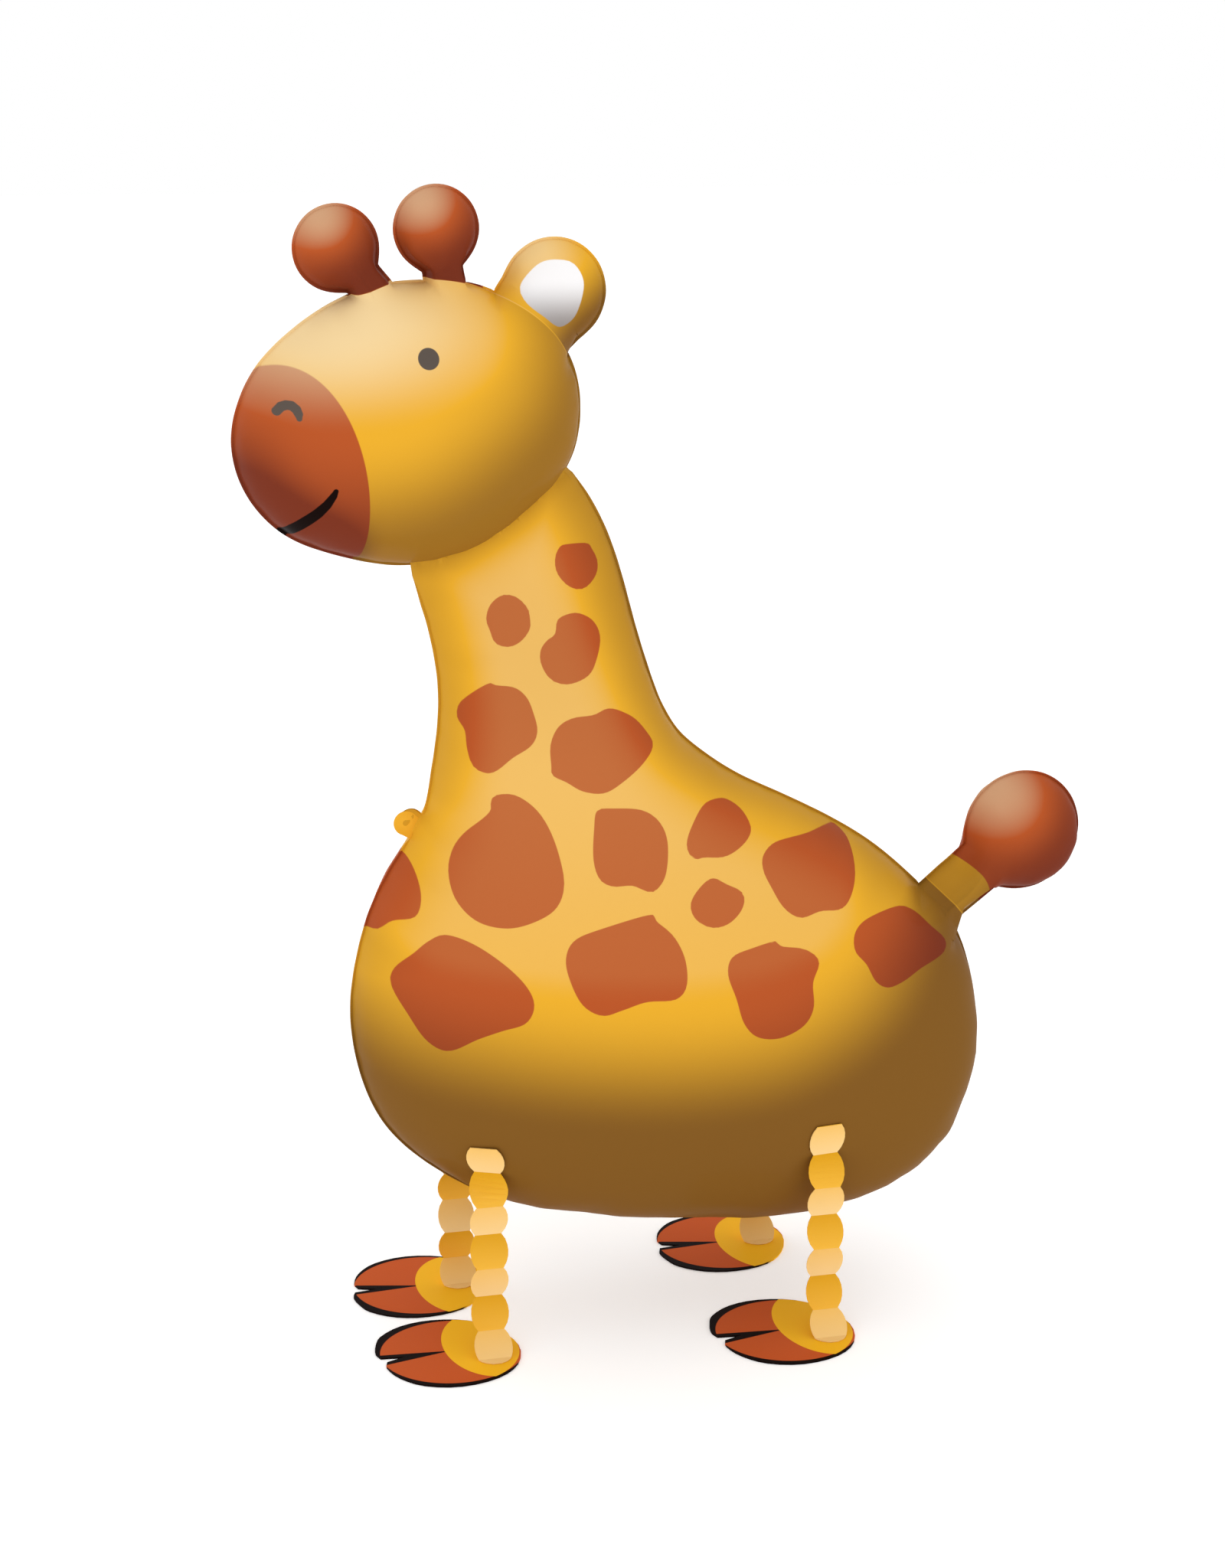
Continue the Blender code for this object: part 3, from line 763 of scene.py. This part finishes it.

# %% [markdown]
# The coat has fifteen blots on each side. Each outline is read off the picture, in pixels
# across and down, and put where the ray meets the film, and a rounded line runs through its
# points. Every point of the film stores how deep it lies inside the nearest blot, so the
# printed edge stays crisp between the points. The white patch inside the ear is done alike.

# %% Coat blots
BLOTS = (
    ((738, 711), (766, 709), (772, 715), (780, 731), (779, 749), (768, 765), (755, 770),
     (739, 763), (727, 747), (725, 729), (730, 716)),
    ((657, 777), (675, 780), (689, 794), (692, 806), (692, 822), (680, 838), (664, 845),
     (647, 840), (640, 824), (635, 808), (641, 789)),
    ((742, 802), (757, 801), (775, 811), (784, 832), (779, 862), (768, 883), (742, 894),
     (720, 888), (707, 868), (706, 850), (714, 837), (725, 828), (728, 810)),
    ((640, 892), (648, 895), (672, 898), (688, 911), (697, 932), (702, 955), (694, 974),
     (670, 990), (650, 1006), (636, 1010), (618, 1001), (610, 978), (607, 954), (597, 936),
     (601, 917), (622, 901)),
    ((797, 925), (826, 936), (845, 956), (853, 973), (842, 995), (816, 1020), (790, 1036),
     (762, 1034), (740, 1022), (722, 1013), (720, 1000), (719, 973), (729, 950), (748, 938),
     (775, 934)),
    ((641, 1046), (650, 1038), (674, 1039), (700, 1057), (718, 1084), (731, 1120),
     (737, 1157), (727, 1186), (700, 1204), (663, 1213), (624, 1204), (597, 1178),
     (586, 1145), (589, 1114), (607, 1087), (639, 1061)),
    ((780, 1059), (800, 1056), (838, 1058), (861, 1073), (872, 1100), (870, 1141),
     (858, 1162), (846, 1165), (826, 1157), (800, 1158), (783, 1148), (775, 1122),
     (776, 1082)),
    ((940, 1042), (958, 1048), (973, 1063), (981, 1084), (970, 1104), (947, 1119),
     (920, 1120), (906, 1122), (897, 1106), (902, 1083), (918, 1052)),
    ((930, 1147), (949, 1155), (970, 1166), (970, 1186), (953, 1206), (930, 1212),
     (909, 1201), (902, 1182), (912, 1162)),
    ((1080, 1075), (1098, 1082), (1111, 1105), (1117, 1140), (1110, 1174), (1097, 1188),
     (1072, 1190), (1046, 1199), (1024, 1186), (1008, 1160), (997, 1137), (997, 1117),
     (1012, 1100), (1042, 1091)),
    ((1172, 1183), (1194, 1189), (1215, 1208), (1234, 1226), (1233, 1243), (1204, 1264),
     (1180, 1282), (1160, 1290), (1144, 1282), (1132, 1260), (1117, 1242), (1117, 1218),
     (1134, 1199)),
    ((1014, 1229), (1020, 1236), (1052, 1240), (1070, 1256), (1062, 1284), (1063, 1316),
     (1050, 1340), (1020, 1356), (990, 1355), (972, 1337), (962, 1305), (951, 1273),
     (957, 1250), (984, 1238)),
    ((848, 1195), (858, 1204), (880, 1223), (895, 1253), (897, 1288), (882, 1306),
     (845, 1309), (813, 1320), (787, 1327), (762, 1314), (746, 1285), (739, 1254),
     (750, 1229), (784, 1214)),
    ((583, 1221), (620, 1234), (660, 1261), (688, 1289), (698, 1314), (687, 1337),
     (656, 1347), (624, 1358), (586, 1373), (557, 1359), (533, 1325), (511, 1287),
     (515, 1264), (540, 1245), (560, 1229)),
    ((520, 1111), (538, 1129), (550, 1170), (543, 1197), (514, 1202), (488, 1213),
     (462, 1211), (450, 1190), (482, 1120)),
)
EAR_WHITE = ((729, 339), (749, 344), (762, 366), (759, 393), (748, 417), (730, 427),
             (711, 414), (689, 397), (679, 377), (690, 357), (708, 342))
CURVE_STEPS = 5
PRINT_REACH = 0.010


def rounded(points):
    """A closed smooth line through the points: a Catmull-Rom curve."""
    count = len(points)
    line = []
    for k in range(count):
        a, b, c, d = (points[(k + step) % count] for step in (-1, 0, 1, 2))
        for step in range(CURVE_STEPS):
            t = step / CURVE_STEPS
            line.append(0.5 * (2 * b + (c - a) * t + (2 * a - 5 * b + 4 * c - d) * t ** 2
                               + (3 * b - a - 3 * c + d) * t ** 3))
    return line


def paint_shapes(pieces, label, outlines):
    """Stores how deep every point lies inside the nearest of some printed shapes."""
    film = pieces[0]
    shapes = [rounded([on_film(film, *point) for point in outline]) for outline in outlines]
    for piece in pieces:
        co = np.empty(len(piece.data.vertices) * 3, np.float32)
        piece.data.vertices.foreach_get("co", co)
        places = co.reshape(-1, 3)[:, (0, 2)].astype(float)
        depth = np.full(len(places), -PRINT_REACH)
        for shape in shapes:
            corners = np.array([(p.x, p.z) for p in shape])
            low = corners.min(axis=0) - PRINT_REACH
            high = corners.max(axis=0) + PRINT_REACH
            near = ((places > low) & (places < high)).all(axis=1)
            depth[near] = np.maximum(depth[near], depth_inside(shape, places[near]))
        layer = piece.data.attributes.new(label, "FLOAT", "POINT")
        layer.data.foreach_set("value", depth.astype(np.float32))
    print(label, "shapes:", len(shapes))


paint_shapes((body_bag, body_rim), "coat", BLOTS)
paint_shapes((head_bag, head_rim), "ear_white", (EAR_WHITE,))

# %% [markdown]
# The body film is yellow with the rust blots. The tail has none: it is yellow from its
# root, where a pale hairline crosses it, up to the round cuff of its rust ball. The root's
# line is given by a point of it, x and z, and by the way that the tail runs from there.

# %% Body print
TAIL_ROOT = Vector((0.1950, 0.2905))
TAIL_WAY = Vector((0.74, 0.67)).normalized()
TAIL_CUFF = (0.1910, 0.2860, 0.0345)
TAIL_SPAN = (0.090, 0.092)
HAIRLINE = 0.0005
TAIL_HAIRLINE_TONE = 0.35

body_film = Film("body film with print and painted shade", **FILM)
coat = body_film.attribute("coat") * -1
past_root = ((body_film.x - TAIL_ROOT.x) * TAIL_WAY.x
             + (body_film.z - TAIL_ROOT.y) * TAIL_WAY.y)
near_tail = 1 - body_film.ramp(body_film.gap(TAIL_BALL[0], TAIL_BALL[1]), *TAIL_SPAN)
tail = body_film.filled(past_root * -1) * near_tail
ball = body_film.filled(body_film.dot(*TAIL_CUFF) * -1) * tail
# The tone attributes carry the painted light and shade of the bag and of the tail's ball.
tone = body_film.attribute("tone") * (1 - tail) + body_film.attribute("knob_painted_shade") * tail
weld_line = 1 - body_film.ramp(body_film.sum("ABSOLUTE", past_root), HAIRLINE / 2, HAIRLINE)
tone = tone + weld_line * near_tail * TAIL_HAIRLINE_TONE
blotted = body_film.filled(coat) * (1 - tail)
colour = body_film.colour_mix(blotted, body_film.ink(YELLOW, tone), body_film.ink(BLOT, tone))
colour = body_film.colour_mix(ball, colour, body_film.ink(RUST, tone))
body_material = body_film.finish_film(colour)
print("body film nodes:", len(body_material.node_tree.nodes))

# %% [markdown]
# The head has a rust muzzle and horns, an eye, a nostril, a mouth line and the white
# inside of the ear. One circle follows the top of the head, and the horns and the ear are
# what lies beyond it and high enough. A pale hairline runs along it, as on the tail. The
# nostril and the mouth are brush strokes through points read off the picture.

# %% Head print
MUZZLE = (-0.2690, 0.5830, 0.0490, 0.0980)
CROWN = (-0.1742, 0.6237, 0.1090)
EAR_FROM = 0.6790
HORNS_FROM = 0.7222
HORNS_BEHIND = -0.2220
CROWN_EDGE = 0.0005
CROWN_HAIRLINE_TONE = 0.3
# The ear's white is painted grey toward its bottom, a painted shade.
EAR_WHITE_SHADE_SPAN = (0.7000, 0.7320)
EAR_WHITE_SHADED = rgb(150, 142, 139)
EAR_WHITE_HIGH = rgb(244, 242, 242)
NOSTRIL = ((361, 537, 5.6), (367, 531, 5.7), (374, 529, 5.8), (381, 530, 6.0), (387, 535, 6.0),
           (390, 541, 5.4), (391, 547, 3.6))
MOUTH = ((350, 703, 7.0), (365, 698, 7.2), (383, 690, 7.4), (400, 681, 7.5), (415, 671, 7.0),
         (427, 660, 6.0), (436, 648, 4.6), (439, 642, 3.2))

head_film = Film("head film with print and painted shade", **FILM)
x_share = (head_film.x - MUZZLE[0]) / MUZZLE[2]
z_share = (head_film.z - MUZZLE[1]) / MUZZLE[3]
muzzle_reach = head_film.sum("SQRT", x_share * x_share + z_share * z_share) - 1
muzzle = head_film.filled(muzzle_reach * MUZZLE[2])
beyond = head_film.dot(*CROWN)
behind = head_film.ramp(head_film.x, HORNS_BEHIND - CROWN_EDGE, HORNS_BEHIND)
high = head_film.z - HORNS_FROM + behind * (HORNS_FROM - EAR_FROM)
above = head_film.ramp(high, -CROWN_EDGE, 0.0)
knob = head_film.filled(beyond * -1) * above
horn = knob * (1 - head_film.ramp(head_film.x, EAR_STARTS - CROWN_EDGE, EAR_STARTS))
ear_white = head_film.filled(head_film.attribute("ear_white") * -1)
# The tone attributes carry the painted light and shade of the head and of its knobs.
tone = head_film.attribute("tone") * (1 - knob) + head_film.attribute("knob_painted_shade") * knob
weld_line = 1 - head_film.ramp(head_film.sum("ABSOLUTE", beyond), HAIRLINE / 2, HAIRLINE)
tone = tone + weld_line * above * CROWN_HAIRLINE_TONE
rusty = head_film.sum("MAXIMUM", muzzle * (1 - knob), horn)
colour = head_film.colour_mix(rusty, head_film.ink(YELLOW, tone), head_film.ink(RUST, tone))
white = head_film.colour_mix(head_film.ramp(head_film.z, *EAR_WHITE_SHADE_SPAN),
                             EAR_WHITE_SHADED, EAR_WHITE_HIGH)
colour = head_film.colour_mix(ear_white, colour, white)
colour = head_film.colour_mix(head_film.filled(head_film.dot(*eye)), colour, GREY)
nostril = head_film.filled(head_film.stroke([dot_on(head_bag, *d) for d in NOSTRIL]))
colour = head_film.colour_mix(nostril, colour, GREY)
mouth = head_film.filled(head_film.stroke([dot_on(head_bag, *d) for d in MOUTH]))
colour = head_film.colour_mix(mouth, colour, BLACK)
head_material = head_film.finish_film(colour)
print("head film nodes:", len(head_material.node_tree.nodes))

# %% [markdown]
# The tab is the same film, yellow all over with faint clouds in its ink. The weld rims get
# the material of their own bag, because a rim is the edge of the bag's printed film.

# %% Tab film and the bags' materials
TAB_YELLOW = rgb(232, 170, 44)
TAB_YELLOW_CLOUD = rgb(240, 180, 54)

tab_film = Film("plain yellow film", **FILM)
tab_cloud = tab_film.add("ShaderNodeTexNoise", {}, {"Vector": tab_film.place, "Scale": 60.0})
tab_colour = tab_film.colour_mix(tab_film.ramp(tab_cloud, 0.3, 0.7),
                                 TAB_YELLOW, TAB_YELLOW_CLOUD)
tab_material = tab_film.finish_film(tab_colour)

for piece, material in ((body_bag, body_material), (body_rim, body_material),
                        (head_bag, head_material), (head_rim, head_material),
                        (filling_tab, tab_material)):
    piece.data.materials.append(material)
    print(piece.name, "is", material.name)

# %% [markdown]
# The leg strips keep their CAD shape. Their links are painted pale and golden in turn, a
# painted light and shade for links that tilt up and down in turn, each a little lighter
# toward its lower fold, and the film lets some light through. The folds are level, so the
# height of a point says which link it is on.

# %% Leg strips
FIRST_FOLD = 0.1312
FOLD_STEP = 0.02276
SHADED_LINK_TOP = rgb(226, 164, 30)
SHADED_LINK_FOOT = rgb(247, 187, 64)
LIT_LINK_TOP = rgb(248, 198, 108)
LIT_LINK_FOOT = rgb(253, 216, 150)

strip = Film("golden link strip", Alpha=0.93, IOR=1.3, Specular_IOR_Level=0.06)
# Every other link gets the painted light, the rest the painted shade.
fold = (strip.z * -1 + FIRST_FOLD) / FOLD_STEP
link = strip.sum("FLOOR", fold)
lit_link = strip.sum("FLOORED_MODULO", link, 2.0)
within = fold - link
golden = strip.colour_mix(within, SHADED_LINK_TOP, SHADED_LINK_FOOT)
pale = strip.colour_mix(within, LIT_LINK_TOP, LIT_LINK_FOOT)
strip.wire("Base Color", strip.colour_mix(lit_link, golden, pale))
fibre = strip.add("ShaderNodeTexNoise", {}, {"Vector": strip.place, "Scale": 420.0})
strip.wire("Roughness", strip.ramp(fibre, 0.3, 0.7) * 0.14 + 0.42)
strip.wire("Normal", strip.add("ShaderNodeBump", {}, {"Strength": 0.12, "Distance": 0.0002,
                                                      "Height": fibre}, "Normal"))
for name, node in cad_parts.items():
    if name.endswith("_leg"):
        node.data.materials.clear()
        node.data.materials.append(strip.material)
        print(name, "is printed")

# %% [markdown]
# The hooves are printed card: rust toes, a yellow heel where the leg is glued, and a
# black line round the edge that is thick at the toes and thin at the heel. The front and
# the back pair are the same print at two places, and left and right are mirror images.

# %% Hoof cards
HOOF_YELLOW = rgb(252, 190, 38)
TOE_RUST = rgb(198, 87, 39)
TOE_RUST_SPECK = rgb(208, 95, 46)
TOES = ((0.0520, 0.0), (0.0497, 0.0493))
HEEL = ((0.0790, 0.0060), (0.0320, 0.0520))
HEEL_EDGE = ((0.0510, 0.0), (0.0475, 0.0515))
OVAL_EDGE = 0.006
SLIT_START = -0.003
SLIT_TURN = 0.08
SLIT_HALF = 0.0085
SLIT_TAPER = -0.165


def hoof_print(name, toe_x, middle_y):
    """The card's print, by the distance back from the toes and inward from the middle."""
    card = Bench(name, Roughness=0.55, IOR=1.3, Specular_IOR_Level=0.05)
    place = card.add("ShaderNodeTexCoord", {}, [], "Object")
    x = card.add("ShaderNodeSeparateXYZ", {}, [place], "X")
    y = card.add("ShaderNodeSeparateXYZ", {}, [place], "Y")
    back = x - toe_x
    inward = (card.sum("ABSOLUTE", y) * -1) + middle_y

    def oval(centre, size):
        """1 inside an oval and 0 outside it."""
        along = (back - centre[0]) / size[0]
        across = (inward - centre[1]) / size[1]
        outside = card.sum("SQRT", along * along + across * across) - 1
        return 1 - card.ramp(outside, -OVAL_EDGE, OVAL_EDGE)

    slit_middle = back * SLIT_TURN + SLIT_START
    slit_half = back * SLIT_TAPER + SLIT_HALF
    beside = card.sum("ABSOLUTE", inward - slit_middle) - slit_half
    slit = 1 - card.ramp(beside, -PRINT_EDGE, PRINT_EDGE)
    speck = card.add("ShaderNodeTexNoise", {}, {"Vector": place, "Scale": 900.0})
    rust = card.colour_mix(speck, TOE_RUST, TOE_RUST_SPECK)
    colour = card.colour_mix(oval(*TOES) * (1 - slit), BLACK, rust)
    colour = card.colour_mix(oval(*HEEL) * oval(*HEEL_EDGE), colour, HOOF_YELLOW)
    card.wire("Base Color", colour)
    card.wire("Roughness", card.ramp(speck, 0.3, 0.7) * 0.12 + 0.5)
    card.wire("Normal", card.add("ShaderNodeBump", {}, {"Strength": 0.08, "Distance": 0.0001,
                                                        "Height": speck}, "Normal"))
    return card.material


for end in ("front", "back"):
    low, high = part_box(f"{end}_right_foot")
    print_of_pair = hoof_print(f"{end} hoof print", low.x, (low.y + high.y) / 2)
    for side in ("left", "right"):
        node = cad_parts[f"{end}_{side}_foot"]
        node.data.materials.clear()
        node.data.materials.append(print_of_pair)
    print(end, "hooves are printed")

# %% [markdown]
# The floor is a pale matt sheet. It glows a little, so that the balloon's shadow on it is
# as faint as on a lit studio table.

# %% Floor sheet
ground = Bench("pale floor", Roughness=1.0, Specular_IOR_Level=0.0, Emission_Strength=0.24,
               Base_Color=rgb(253, 253, 253), Emission_Color=rgb(255, 255, 255))
floor.data.materials.append(ground.material)
print("floor is", ground.material.name)

# %% [markdown]
# Every piece rides on the root body, because nothing on the balloon has a joint. The two
# skins stand for the CAD bags.

# %% Riding and finish
for piece in (body_bag, head_bag, body_rim, head_rim, filling_tab):
    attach(piece, "root")
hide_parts("body")
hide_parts("head")
